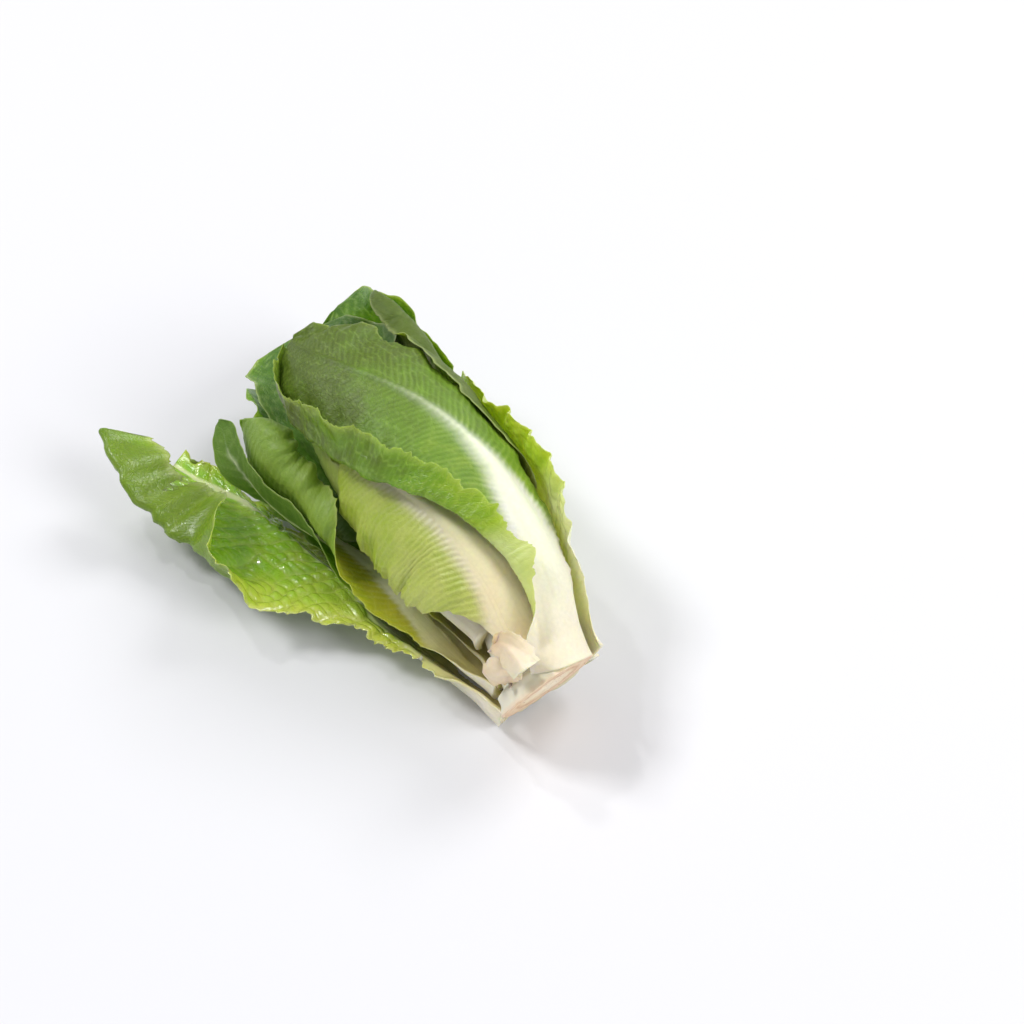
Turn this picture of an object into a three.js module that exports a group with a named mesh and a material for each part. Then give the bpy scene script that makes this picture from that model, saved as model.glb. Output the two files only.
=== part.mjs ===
// A romaine lettuce heart lying on its side: a tapering core stem with a flat cut butt, the leaves that wrap
// it and two torn leaf stalks. Millimetres, +Z up. The butt points to +X, and the tips point to -X.
import * as THREE from "three";

// The head as a whole. Its own frame has the axis along -X from the centre of the cut face; an angle round
// the axis is 0 towards -Y and 90 upwards.
const AXIS_RISE = 8.64; // degrees that the axis climbs from butt to tips
const AXIS_ROLL = 3.65; // degrees that the head is rolled about its axis
const BUTT_AT = [122.59, 30.88, 33]; // centre of the cut face
const CORE_LENGTH = 80;
const CORE_RADIUS = 19.5;
const COLLAR_RADIUS = 24.5; // the cut face, with the trimmed leaf bases round it
const COLLAR_DEPTH = 3;
const BARE = { radius: 23, depth: 8.5, from: -2, to: 58 }; // thicker between these degrees, where no leaf is
const CUT_SLOPE = 0.25; // the cut leans: mm along the axis for each mm towards CUT_TOWARDS
const CUT_TOWARDS = 69; // degrees round the axis
const CUT_FADE = 45; // mm from the cut face over which the lean dies out
const BLADE = 0.4; // half the thickness of a leaf blade
const LAYER_BLEND = 0.8; // how softly a leaf meets the one it wraps

// How finely each leaf is worked out, and how finely the room taken by the leaves inside it is kept.
const ROWS = 97;
const HALF = 32; // columns on each side of the midrib
const CELL = 2.5; // mm along the axis and degrees round it
const ALONG_CELLS = 116;
const ROUND_CELLS = 144;
const FIRST_ALONG = -10;

// Shared habits of the leaves, which each leaf below may change. Lists run from base to tip.
const COMMON = {
  gap: 0.6, // least air to the leaves inside
  rib: 0.8, // height of the midrib, 1 is a strong one
  hug: [1], // how closely the blade bends round the head
  roll: [0], // degrees that the blade is turned about its midrib
  ruffle: [0.1, 0.5, 1.5], // mm of wave at the margin
  waves: 6,
  base: 0.22, // half-width at the base, as a share of halfWidth
  widest: 0.66, // where the blade is widest, as a share of its length
  tip: 0.08,
  blunt: 2.6,
  lobes: [9, 0.035], // shallow lobes along the margin: how many, and how deep
};
// Shared habits of each half-blade: low is the half towards smaller angles, and high the other.
// curl is the degrees by which the margin turns in (+) or out (-), over curlZone of the half-width; slant is
// the degrees by which the blade grows towards the tip instead of straight out, and swing adds to it over the
// same zone.
const COMMON_SIDE = { scale: [1], curl: [0], curlZone: [0.6, 1], slant: [0], swing: [0], wave: 1 };

// Every leaf, outermost first. path holds stations along the midrib: [mm from the cut face, mm from the axis,
// degrees round it]. columns are the places across a half-blade, out of HALF, where the solid has its edges.
const BROAD = { rows: 21, columns: [0, 3, 8, 14, 20, 26, 32] };
const HIDDEN = { rows: 15, columns: [0, 4, 12, 22, 32] };
const LEAVES = [
  {
    name: "torn_stalk_upper", seed: 21, colour: 0xf1ecc9, rows: 7, columns: [0, 12, 22, 32],
    path: [[8, 25, 66], [14, 28, 66], [20, 32, 63], [24, 35, 56]],
    halfWidth: 6, base: 0.8, widest: 0.5, tip: 0.5, ruffle: [0, 0.2, 0.3], waves: 3, lobes: [2, 0.05],
  },
  {
    name: "torn_stalk_lower", seed: 22, colour: 0xe9dcae, rows: 7, columns: [0, 12, 22, 32],
    path: [[11, 25, 74], [12, 27, 60], [14, 28, 44], [16, 29, 28]],
    halfWidth: 7, base: 0.8, widest: 0.5, tip: 0.5, ruffle: [0, 0.2, 0.3], waves: 3, lobes: [2, 0.05],
  },
  {
    name: "spread_leaf", seed: 1, colour: 0x8dc63f, ...BROAD, columns: [0, 4, 9, 13, 15, 17, 19, 21, 26, 32],
    path: [
      [4, 22, -44], [50, 36, -42], [92, 47, -38], [124, 55, -38], [152, 63, -34], [176, 75, -29],
      [194, 86, -22], [208, 93, -18],
    ],
    halfWidth: 58, roll: [0, -34, -40, -60, -70], hug: [1, 0.25, 0.1], ruffle: [0.1, 1.1, 2.2, 1.9, 1.2],
    waves: 8, base: 0.18, widest: 0.88, tip: 0.83,
    high: {
      scale: [1.15, 0.95, 0.82, 0.82, 1.1, 1.58, 1.5, 1.38, 1.3],
      curl: [0, -5, -10, -12, -10, 60, 165, 182, 188], curlZone: [0.56, 0.68],
      slant: [0, 0, 0, -5, -5, 16, 42, 62, 84], swing: [0, 0, 0, 0, 0, -18, -24, -24, -24],
    },
    low: { scale: [0.9, 0.9, 0.8, 0.3, 0.2], hug: [1, 0.7, 0.2] },
  },
  {
    name: "under_leaf", seed: 2, colour: 0x9cc653, ...BROAD, gap: 1.2, rib: 0.5,
    path: [[4, 22, -82], [58, 33, -80], [120, 41, -75], [170, 43, -66], [208, 38, -51], [230, 42, -36]],
    halfWidth: 48, roll: [0, 0, -10], hug: [1, 1, 1, 0.6], ruffle: [0.1, 0.4, 2], waves: 7, widest: 0.6,
    low: { scale: [0.8, 0.8, 0.8, 0.8, 0.72, 0.66] }, high: { scale: [0.8, 0.75, 0.62, 0.5, 0.5, 0.6] },
  },
  {
    name: "right_leaf", seed: 3, colour: 0x7fb83a, ...BROAD, gap: 0.9,
    path: [[4, 22, 190], [48, 38, 187], [92, 46, 190], [128, 47, 191], [150, 43, 190], [168, 38, 188]],
    halfWidth: 54, base: 0.36, ruffle: [0.2, 2, 2.5], waves: 9, widest: 0.42,
    low: { scale: [0.86], hug: [1, 0.1, 0.2, 0.8] },
    high: { scale: [0.8], wave: 0.3 },
  },
  {
    name: "back_leaf", seed: 4, colour: 0x86b544, ...BROAD,
    path: [
      [4, 22, -128], [58, 35, -126], [115, 44, -128], [162, 51, -130], [210, 46, -136], [253, 38, -140],
    ],
    halfWidth: 50, hug: [1, 1, 1, 0.6], ruffle: [0.1, 0.4, 2], waves: 7, widest: 0.68,
  },
  {
    name: "pointed_leaf", seed: 5, colour: 0x86b74d, ...BROAD,
    path: [[16, 20, -66], [60, 32, -62], [110, 41, -47], [150, 54, -27], [180, 66, -8], [201, 64, 4]],
    halfWidth: 26, rib: 0.7, roll: [0, 0, 10, 55], hug: [1, 0.8, 0.8], ruffle: [0.1, 0.5, 1],
    widest: 0.6, tip: 0.03, blunt: 1.4,
    low: { scale: [0.14, 0.14, 0.14, 0.14, 0.3, 0.75, 0.7], hug: [1, 1.8, 1.8, 1] },
  },
  {
    name: "rolled_leaf", seed: 6, colour: 0x77a93b, ...BROAD, gap: 0.9,
    path: [[16, 20, 215], [60, 34, 204], [115, 42, 192], [160, 45, 186], [200, 46, 176], [228, 40, 162]],
    halfWidth: 46, rib: 0.7, hug: [1, 0.7, 0.6], ruffle: [0.1, 0.5, 2],
    low: { curl: [0, 0, 20, 110], curlZone: [0.5, 0.9] },
    high: { scale: [0.85] },
  },
  {
    name: "bottom_leaf", seed: 7, colour: 0x5f9234, ...BROAD,
    path: [[20, 19, -108], [70, 32, -106], [130, 37, -100], [185, 36, -97], [225, 34, -100], [252, 33, -106]],
    halfWidth: 46, rib: 0.7, hug: [1, 1, 1, 0.5], ruffle: [0.1, 0.4, 3], widest: 0.78,
  },
  {
    name: "hooding_leaf", seed: 8, colour: 0xa9cf5c, ...BROAD, columns: [0, 3, 8, 14, 19, 21, 23, 32],
    path: [
      [4, 22, 124], [42, 41, 124], [86, 49, 120], [118, 50.5, 111], [144, 50, 98], [169, 47, 82],
      [192, 41, 67], [213, 30, 54],
    ],
    halfWidth: 56, rib: 1, hug: [1, 1, 1.1], ruffle: [0.2, 0.8, 1.5], waves: 7, base: 0.36, widest: 0.6,
    blunt: 1.8, lobes: [9, 0.01],
    low: { scale: [1.22], curl: [0, -150, -176, -176, -176, -160], curlZone: [0.62, 0.74] },
    high: { scale: [0.66] },
  },
  {
    name: "hooded_leaf", seed: 9, colour: 0x8cba52, ...BROAD, columns: [0, 3, 8, 13, 18, 23, 28, 32],
    path: [[12, 20, -34], [55, 31, -44], [100, 38, -42], [140, 50, -28], [172, 60, -10], [196, 54, 4]],
    halfWidth: 46, rib: 0.9, roll: [0, -20, -25, -10, 10, 20], hug: [1, 0.6, 0.6], ruffle: [0.2, 1, 1.5],
    waves: 7, widest: 0.82, base: 0.28, blunt: 3.6,
    high: { curl: [0, 0, 20, 130, 110], curlZone: [0.4, 0.9], hug: [1, 0.4, 0.4, 0.8] },
    low: { scale: [0.14], hug: [1, 1.8, 1.9] },
  },
  {
    name: "front_leaf", seed: 10, colour: 0xc3d97a, ...BROAD, gap: 0.8,
    path: [[15, 19, 82], [45, 30, 87], [77, 37, 80], [104, 39, 67], [127, 37, 53], [146, 32, 43]],
    halfWidth: 49, rib: 1, ruffle: [0.2, 0.8, 1.2], waves: 8, widest: 0.46, base: 0.26,
  },
  {
    name: "inner_leaf_right", seed: 11, colour: 0xa2c758, ...HIDDEN,
    path: [[22, 17, 165], [60, 28, 170], [110, 35, 178], [160, 35, 184], [200, 26, 190]],
    halfWidth: 42,
  },
  {
    name: "inner_leaf_under", seed: 12, colour: 0xa8cb5e, ...HIDDEN, gap: 1,
    path: [[24, 16, -60], [60, 25, -58], [110, 31, -54], [155, 31, -48], [190, 25, -40]],
    halfWidth: 40,
  },
  {
    name: "inner_leaf_top", seed: 13, colour: 0xb6d36a, ...HIDDEN,
    path: [[30, 14, 140], [60, 24, 135], [110, 31, 128], [150, 31, 122], [185, 24, 110]],
    halfWidth: 38,
  },
  {
    name: "inner_leaf_left", seed: 14, colour: 0xbcd670, ...HIDDEN,
    path: [[34, 13, 12], [62, 22, 10], [105, 29, 10], [145, 29, 14], [178, 24, 20]],
    halfWidth: 34,
  },
  {
    name: "heart_leaf_under", seed: 15, colour: 0xcbdd84, ...HIDDEN,
    path: [[40, 10, -110], [70, 17, -110], [110, 20, -110], [145, 19, -108], [168, 13, -100]],
    halfWidth: 28,
  },
  {
    name: "heart_leaf_top", seed: 16, colour: 0xd8e396, ...HIDDEN,
    path: [[48, 8, 80], [75, 12, 80], [105, 14, 80], [135, 13, 78], [155, 8, 70]],
    halfWidth: 22, waves: 5,
  },
];

const { sin, cos, PI, sqrt, abs, max, min, hypot, atan2, floor, round } = Math;
const TURN = 2 * PI;
const radians = (degrees) => (degrees * PI) / 180;
const clamp = (x, low = 0, high = 1) => min(max(x, low), high);
const ease = (x) => clamp(x) ** 2 * (3 - 2 * clamp(x));

// A smooth curve through evenly spaced values, each a number or a list of numbers, at t from 0 to 1.
function through(values, t) {
  const last = values.length - 1;
  if (last === 0) return values[0];
  const isList = Array.isArray(values[0]);
  const lists = isList ? values : values.map((v) => [v]);
  const x = clamp(t) * last;
  const i = min(floor(x), last - 1);
  const f = x - i;
  const at = (j, k) => {
    if (j < 0) return 2 * lists[0][k] - lists[1][k];
    if (j > last) return 2 * lists[last][k] - lists[last - 1][k];
    return lists[j][k];
  };
  const mixed = lists[0].map((_, k) => {
    const [a, b, c, d] = [at(i - 1, k), at(i, k), at(i + 1, k), at(i + 2, k)];
    const bend = 2 * a - 5 * b + 4 * c - d;
    const swing = 3 * b - a - 3 * c + d;
    return b + 0.5 * ((c - a) * f + bend * f ** 2 + swing * f ** 3);
  });
  return isList ? mixed : mixed[0];
}

// Directions in the head's frame: along the axis from the butt, and out and round at an angle.
const outward = (angle) => new THREE.Vector3(0, -cos(angle), sin(angle));
const roundward = (angle) => new THREE.Vector3(0, sin(angle), cos(angle));
const placed = (along, radius, angle) => outward(angle).multiplyScalar(radius).setX(-along);
const polar = (p) => ({ along: -p.x, radius: hypot(p.y, p.z), angle: atan2(p.z, -p.y) });

// Radius of the core stem, which tapers to a blunt point.
const coreRadius = (along) => CORE_RADIUS * (1 - clamp(along / CORE_LENGTH)) ** 0.8;

// Shears a mesh along the axis near the butt, so that the cut leans.
function leanCut(geometry) {
  const places = geometry.getAttribute("position");
  const towards = outward(radians(CUT_TOWARDS));
  const point = new THREE.Vector3();
  for (let i = 0; i < places.count; i++) {
    point.fromBufferAttribute(places, i);
    const shift = CUT_SLOPE * point.dot(towards) * (1 - ease(-point.x / CUT_FADE));
    places.setX(i, point.x + shift);
  }
  geometry.computeVertexNormals();
  return geometry;
}

// The share of the half-width that a leaf has at s along it.
function outlineShare(leaf, s) {
  const body = leaf.base + (1 - leaf.base) * ease((s - 0.06) / (leaf.widest - 0.06));
  const end = clamp((s - leaf.widest) / (1 - leaf.widest));
  return body * (sqrt(1 - end ** leaf.blunt) * (1 - leaf.tip) + leaf.tip);
}

// How far the midrib stands out of the blade, across measured from its middle.
function ribHeight(leaf, s, across) {
  const halfRib = 1.4 + 0.29 * leaf.halfWidth * (1 - s) ** 2.3;
  const high = leaf.rib * (0.2 + 3.9 * (1 - s) ** 1.2);
  return high * 0.5 * (1 + cos(PI * clamp(abs(across) / (1.35 * halfRib))));
}

// The midrib of a leaf: for each row its point, and the directions along it, across the blade and out.
function midrib(leaf) {
  const fine = 400;
  const stations = Array.from({ length: fine }, (_, i) => {
    const [along, radius, angle] = through(leaf.path, i / (fine - 1));
    return { point: placed(along, radius, radians(angle)), radius, angle: radians(angle), run: 0 };
  });
  for (let i = 1; i < fine; i++)
    stations[i].run = stations[i - 1].run + stations[i].point.distanceTo(stations[i - 1].point);
  const length = stations[fine - 1].run;
  const rows = [];
  let i = 0;
  for (let row = 0; row < ROWS; row++) {
    const s = row / (ROWS - 1);
    while (i < fine - 2 && stations[i + 1].run < s * length) i++;
    const [from, to] = [stations[i], stations[i + 1]];
    const f = clamp((s * length - from.run) / (to.run - from.run));
    rows.push({
      s,
      point: from.point.clone().lerp(to.point, f),
      radius: from.radius + f * (to.radius - from.radius),
      angle: from.angle + f * (to.angle - from.angle),
    });
  }
  rows.forEach((row, k) => {
    const before = rows[max(k - 1, 0)].point;
    const after = rows[min(k + 1, ROWS - 1)].point;
    const along = after.clone().sub(before).normalize();
    const across = roundward(row.angle);
    across.addScaledVector(along, -across.dot(along)).normalize();
    const out = across.clone().cross(along);
    const roll = radians(through(leaf.roll, row.s));
    row.along = along;
    row.across = across.clone().multiplyScalar(cos(roll)).addScaledVector(out, -sin(roll));
    row.out = out.clone().multiplyScalar(cos(roll)).addScaledVector(across, sin(roll));
  });
  return rows;
}

// The middle surface of a leaf as ROWS by 2 * HALF + 1 points, bent round the head by arc length and waved.
function leafSheet(leaf) {
  const seed = leaf.seed;
  return midrib(leaf).map((row) => {
    const { s } = row;
    const points = new Array(2 * HALF + 1);
    points[HALF] = { point: row.point.clone(), across: 0 };
    for (const [direction, own] of [[-1, leaf.low], [1, leaf.high]]) {
      const side = { ...COMMON_SIDE, hug: leaf.hug, ...own };
      const [lobes, depth] = leaf.lobes;
      const lobe = sin(TURN * (lobes * s + 0.13 * direction + seed * 0.37)) * ease((s - 0.12) / 0.2);
      const notch = sin(TURN * (lobes * 2.3 * s + seed * 0.71) + direction);
      const scale = through(side.scale, s) * (1 + depth * (lobe + 0.5 * notch));
      const width = leaf.halfWidth * scale * outlineShare(leaf, s);
      const bend = through(side.hug, s) / max(row.radius, 14);
      const curl = radians(through(side.curl, s));
      const [curlFrom, curlTo] = side.curlZone;
      const swell =
        sin(TURN * (leaf.waves * s + seed * 0.61 + 0.25 * direction)) +
        0.45 * sin(TURN * (2.1 * leaf.waves * s + seed * 1.3 + 0.4 * direction));
      const wave = through(leaf.ruffle, s) * side.wave * swell;
      const zoneShare = (x) => ease((x - curlFrom) / (curlTo - curlFrom));
      const turnAt = (x) => bend * width * x + curl * zoneShare(x);
      const slantAt = (x) => radians(through(side.slant, s) + through(side.swing, s) * zoneShare(x));
      const grown = (x) => {
        const sideways = row.across.clone().multiplyScalar(direction * cos(slantAt(x)));
        return sideways.addScaledVector(row.along, sin(slantAt(x)));
      };
      const mix = (a, b, turn) => a.clone().multiplyScalar(cos(turn)).addScaledVector(b, sin(turn));
      const heading = (x) => mix(grown(x), row.out, -turnAt(x));
      const facing = (x) => mix(row.out, grown(x), turnAt(x));
      const point = row.point.clone();
      let last = heading(0);
      for (let k = 1; k <= HALF; k++) {
        const x = k / HALF;
        const next = heading(x);
        point.addScaledVector(last.add(next), (0.5 * width) / HALF);
        last = next;
        const lifted = point.clone().addScaledVector(facing(x), wave * ease((x - 0.4) / 0.6));
        points[HALF + direction * k] = { point: lifted, across: direction * width * x };
      }
    }
    return points.map((p) => ({ ...p, s }));
  });
}

// The room already taken: the largest radius reached in each cell along and round the head.
class Room {
  constructor(fill) {
    this.cells = new Float64Array(ALONG_CELLS * ROUND_CELLS);
    for (let i = 0; i < ALONG_CELLS; i++)
      this.cells.fill(fill(FIRST_ALONG + CELL * i), i * ROUND_CELLS, (i + 1) * ROUND_CELLS);
  }

  get(i, j) {
    const row = clamp(i, 0, ALONG_CELLS - 1);
    return this.cells[row * ROUND_CELLS + (((j % ROUND_CELLS) + ROUND_CELLS) % ROUND_CELLS)];
  }

  take(point) {
    const { along, radius, angle } = polar(point);
    const i = clamp(round((along - FIRST_ALONG) / CELL), 0, ALONG_CELLS - 1);
    const j = (round((angle / TURN) * ROUND_CELLS) + ROUND_CELLS) % ROUND_CELLS;
    const cell = i * ROUND_CELLS + j;
    this.cells[cell] = max(this.cells[cell], radius);
  }

  at({ along, angle }) {
    const x = clamp((along - FIRST_ALONG) / CELL, 0, ALONG_CELLS - 1.001);
    const y = (angle / TURN) * ROUND_CELLS;
    const [i, j] = [floor(x), floor(y)];
    const [f, g] = [x - i, y - j];
    return (
      this.get(i, j) * (1 - f) * (1 - g) + this.get(i + 1, j) * f * (1 - g) +
      this.get(i, j + 1) * (1 - f) * g + this.get(i + 1, j + 1) * f * g
    );
  }

  // One pass along and one pass round, each replacing a cell by the largest or the mean of those about it.
  passed(combine, alongReach, roundReach) {
    let room = this;
    for (const [reach, di, dj] of [[alongReach, 1, 0], [roundReach, 0, 1]]) {
      const next = new Room(() => 0);
      for (let i = 0; i < ALONG_CELLS; i++)
        for (let j = 0; j < ROUND_CELLS; j++) {
          const near = [];
          for (let k = -reach; k <= reach; k++) near.push(room.get(i + k * di, j + k * dj));
          next.cells[i * ROUND_CELLS + j] = combine(near);
        }
      room = next;
    }
    return room;
  }

  // Widened and then smoothed, so that it is nowhere below the room taken.
  eased() {
    const mean = (near) => near.reduce((sum, v) => sum + v, 0) / near.length;
    return this.passed((near) => max(...near), 3, 4).passed(mean, 2, 3);
  }
}

// Unit normals of a sheet of points, facing out of the head.
function sheetNormals(sheet) {
  const last = sheet[0].length - 1;
  return sheet.map((row, i) =>
    row.map((_, j) => {
      const down = sheet[min(i + 1, ROWS - 1)][j].point.clone().sub(sheet[max(i - 1, 0)][j].point);
      const over = row[min(j + 1, last)].point.clone().sub(row[max(j - 1, 0)].point);
      return over.cross(down).normalize();
    }),
  );
}

// Lifts a leaf clear of everything that it wraps, gives it its thickness, and takes up its room.
function settleLeaf(leaf, room) {
  const sheet = leafSheet(leaf);
  const below = room.eased();
  for (const row of sheet)
    for (const p of row) {
      const rib = ribHeight(leaf, p.s, p.across);
      p.inner = BLADE + 0.15 * rib;
      p.outer = BLADE + 0.85 * rib;
      const here = polar(p.point);
      const taken = below.at(here);
      if (taken < 0.01) continue;
      const needed = taken + leaf.gap + p.inner;
      const gap = here.radius - needed;
      const radius = 0.5 * (here.radius + needed + sqrt(gap * gap + LAYER_BLEND ** 2));
      p.point = placed(here.along, radius, here.angle);
    }
  const normals = sheetNormals(sheet);
  sheet.forEach((row, i) =>
    row.forEach((p, j) => {
      p.top = p.point.clone().addScaledVector(normals[i][j], p.outer);
      p.bottom = p.point.clone().addScaledVector(normals[i][j], -p.inner);
    }),
  );
  const fineness = 4;
  for (let i = 0; i < ROWS - 1; i++)
    for (let j = 0; j < 2 * HALF; j++)
      for (const face of ["top", "bottom"])
        for (let a = 0; a <= fineness; a++)
          for (let b = 0; b <= fineness; b++) {
            const near = sheet[i][j][face].clone().lerp(sheet[i + 1][j][face], a / fineness);
            const far = sheet[i][j + 1][face].clone().lerp(sheet[i + 1][j + 1][face], a / fineness);
            room.take(near.lerp(far, b / fineness));
          }
  return sheet;
}

// A closed mesh between an outer and an inner grid of points, with both faces split along the same diagonals.
function slab(outer, inner) {
  const [rows, columns] = [outer.length, outer[0].length];
  const points = [...outer.flat(), ...inner.flat()];
  const index = [];
  const at = (i, j, face) => face * rows * columns + i * columns + j;
  const quad = (a, b, c, d) => index.push(a, b, c, a, c, d);
  for (let i = 0; i < rows - 1; i++)
    for (let j = 0; j < columns - 1; j++) {
      quad(at(i, j, 0), at(i, j + 1, 0), at(i + 1, j + 1, 0), at(i + 1, j, 0));
      const [a, b, c, d] = [at(i, j, 1), at(i, j + 1, 1), at(i + 1, j + 1, 1), at(i + 1, j, 1)];
      index.push(a, c, b, a, d, c);
    }
  const rim = [];
  for (let j = 0; j < columns - 1; j++) rim.push([0, j]);
  for (let i = 0; i < rows - 1; i++) rim.push([i, columns - 1]);
  for (let j = columns - 1; j > 0; j--) rim.push([rows - 1, j]);
  for (let i = rows - 1; i > 0; i--) rim.push([i, 0]);
  rim.forEach(([i, j], k) => {
    const [nextI, nextJ] = rim[(k + 1) % rim.length];
    quad(at(i, j, 0), at(i, j, 1), at(nextI, nextJ, 1), at(nextI, nextJ, 0));
  });
  const geometry = new THREE.BufferGeometry().setFromPoints(points).setIndex(index);
  geometry.computeVertexNormals();
  return geometry;
}

// The rows and columns of a leaf's sheet where its solid has edges: rows crowd a little towards the tip.
function leafSolid(leaf, sheet) {
  const rows = Array.from({ length: leaf.rows }, (_, k) => {
    const t = k / (leaf.rows - 1);
    return round((ROWS - 1) * (1 - (1 - t) ** 1.15));
  });
  const low = leaf.columns.slice(1).reverse().map((k) => HALF - k);
  const columns = [...low, ...leaf.columns.map((k) => HALF + k)];
  const grid = (face) => rows.map((i) => columns.map((j) => sheet[i][j][face]));
  return slab(grid("top"), grid("bottom"));
}

// The core stem: the cut face with its collar, thicker flesh where no leaf covers it, and the cone.
function coreSolid() {
  const { radius, depth, from, to } = BARE;
  const bareEnd = depth + 2.5;
  const cone = Array.from({ length: 10 }, (_, k) => {
    const along = bareEnd + (k / 9) * (CORE_LENGTH - 1 - bareEnd);
    return new THREE.Vector2(coreRadius(along), along);
  });
  const bareRows = [COLLAR_DEPTH + 0.3, depth].map((along) => new THREE.Vector2(coreRadius(along), along));
  const profile = [
    new THREE.Vector2(0, 0),
    new THREE.Vector2(COLLAR_RADIUS, 0),
    new THREE.Vector2(COLLAR_RADIUS, COLLAR_DEPTH),
    ...bareRows,
    ...cone,
    new THREE.Vector2(0, CORE_LENGTH),
  ];
  const geometry = new THREE.LatheGeometry(profile, 36).rotateZ(PI / 2);
  const places = geometry.getAttribute("position");
  for (let i = 0; i < places.count; i++) {
    const { along, angle } = polar(new THREE.Vector3().fromBufferAttribute(places, i));
    const isBare = angle > radians(from) && angle < radians(to);
    if (isBare && along > COLLAR_DEPTH && along < bareEnd - 0.1)
      places.setXYZ(i, ...placed(along, radius, angle).toArray());
  }
  return geometry;
}

const room = new Room((along) => (along < 0 || along > CORE_LENGTH ? 0 : coreRadius(along)));
const leaves = LEAVES.map((leaf) => ({ ...COMMON, ...leaf }));
const head = new THREE.Group();
for (const leaf of leaves.reverse()) {
  const material = new THREE.MeshStandardMaterial({ color: leaf.colour, roughness: 0.45, metalness: 0 });
  const mesh = new THREE.Mesh(leanCut(leafSolid(leaf, settleLeaf(leaf, room))), material);
  mesh.name = leaf.name;
  head.add(mesh);
}
const stemMaterial = new THREE.MeshStandardMaterial({ color: 0xe6d6b0, roughness: 0.6, metalness: 0 });
const stem = new THREE.Mesh(leanCut(coreSolid()), stemMaterial);
stem.name = "core_stem";
head.add(stem);
head.rotation.set(radians(AXIS_ROLL), radians(AXIS_RISE), 0, "YXZ");
head.position.set(...BUTT_AT);

export default new THREE.Group().add(head);
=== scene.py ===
import bpy
import numpy as np
from mathutils import Matrix, Vector


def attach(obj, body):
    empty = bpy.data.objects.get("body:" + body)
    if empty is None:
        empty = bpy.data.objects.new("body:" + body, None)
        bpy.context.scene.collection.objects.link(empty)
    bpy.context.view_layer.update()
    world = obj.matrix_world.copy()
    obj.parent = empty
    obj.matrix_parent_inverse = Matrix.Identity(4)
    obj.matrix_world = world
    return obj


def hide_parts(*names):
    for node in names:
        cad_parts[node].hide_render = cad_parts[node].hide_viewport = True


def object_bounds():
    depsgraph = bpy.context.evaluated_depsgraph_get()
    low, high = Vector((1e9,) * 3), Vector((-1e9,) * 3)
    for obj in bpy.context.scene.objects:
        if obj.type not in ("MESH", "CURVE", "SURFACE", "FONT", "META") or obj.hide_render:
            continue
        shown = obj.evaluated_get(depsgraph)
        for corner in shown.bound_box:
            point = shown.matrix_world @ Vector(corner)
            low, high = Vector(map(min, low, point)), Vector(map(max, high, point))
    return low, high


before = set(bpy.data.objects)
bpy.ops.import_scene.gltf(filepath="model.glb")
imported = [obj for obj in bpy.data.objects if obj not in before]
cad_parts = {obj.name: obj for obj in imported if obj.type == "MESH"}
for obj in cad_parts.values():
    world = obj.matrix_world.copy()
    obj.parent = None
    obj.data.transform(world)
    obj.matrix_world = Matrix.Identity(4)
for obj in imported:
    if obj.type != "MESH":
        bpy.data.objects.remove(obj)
cad_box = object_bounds()


# ------------------------------------------------------------
# How the head lies. Its own frame has the stem's axis along -X from the centre of the cut face, in mm, and
# an angle round the axis is 0 towards -Y and 90 upwards. The head is rolled, tipped up, and rests on leaves.
AXIS_RISE = np.radians(8.64)
AXIS_ROLL = np.radians(3.65)
BUTT_AT = np.array([122.59, 30.88, 33.00])
CUT_SLOPE, CUT_TOWARDS, CUT_FADE = 0.25, np.radians(69), 45.0
MM = 0.001
TURN = 2 * np.pi


def ease(x):
    """0 before 0 and 1 after 1, with 3x^2 - 2x^3 between."""
    x = np.clip(x, 0, 1)
    return x * x * (3 - 2 * x)


def head_to_object(points):
    """Points of the head's frame, in mm, put in the object's frame, in metres: sheared along the axis near
    the butt by the slope of the cut, turned by the roll about X, then by the rise about Y, then moved so that
    the axis starts at BUTT_AT."""
    rise_cos, rise_sin = np.cos(AXIS_RISE), np.sin(AXIS_RISE)
    roll_cos, roll_sin = np.cos(AXIS_ROLL), np.sin(AXIS_ROLL)
    high = points[..., 2] * np.sin(CUT_TOWARDS) - points[..., 1] * np.cos(CUT_TOWARDS)
    x = points[..., 0] + CUT_SLOPE * high * (1 - ease(-points[..., 0] / CUT_FADE))
    y = points[..., 1] * roll_cos - points[..., 2] * roll_sin
    z = points[..., 1] * roll_sin + points[..., 2] * roll_cos
    return (np.stack([x * rise_cos + z * rise_sin, y, z * rise_cos - x * rise_sin], -1) + BUTT_AT) * MM


# ------------------------------------------------------------
# The studio: a camera that looks down over the cut end, a plain pale paper floor, and area lights. The window
# and the small ceiling light stand on the side of the spread leaf, and two wide lights fill the shadows.
LENS, SENSOR, PICTURE = 65.0, 36.0, 1024
AZIMUTH, ELEVATION, CAMERA_ROLL = np.radians([54.24, 49.45, 4.17])
BUTT_PIXEL = (548, 688)
BUTT_DEPTH = 0.8463

turn_camera = (
    Matrix.Rotation(AZIMUTH, 3, "Z")
    @ Matrix.Rotation(np.pi / 2 - ELEVATION, 3, "X")
    @ Matrix.Rotation(CAMERA_ROLL, 3, "Z")
)
per_pixel = SENSOR / (LENS * PICTURE)
across_view = (BUTT_PIXEL[0] - PICTURE / 2) * per_pixel * BUTT_DEPTH
up_view = (PICTURE / 2 - BUTT_PIXEL[1]) * per_pixel * BUTT_DEPTH
camera_data = bpy.data.cameras.new("camera")
camera_data.lens = LENS
camera_data.sensor_width = SENSOR
camera_data.clip_end = 20
camera = bpy.data.objects.new("camera", camera_data)
camera.matrix_world = Matrix.Translation(
    Vector(BUTT_AT * MM) - turn_camera @ Vector((across_view, up_view, -BUTT_DEPTH))
) @ turn_camera.to_4x4()
bpy.context.scene.collection.objects.link(camera)
bpy.context.scene.camera = camera


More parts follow.
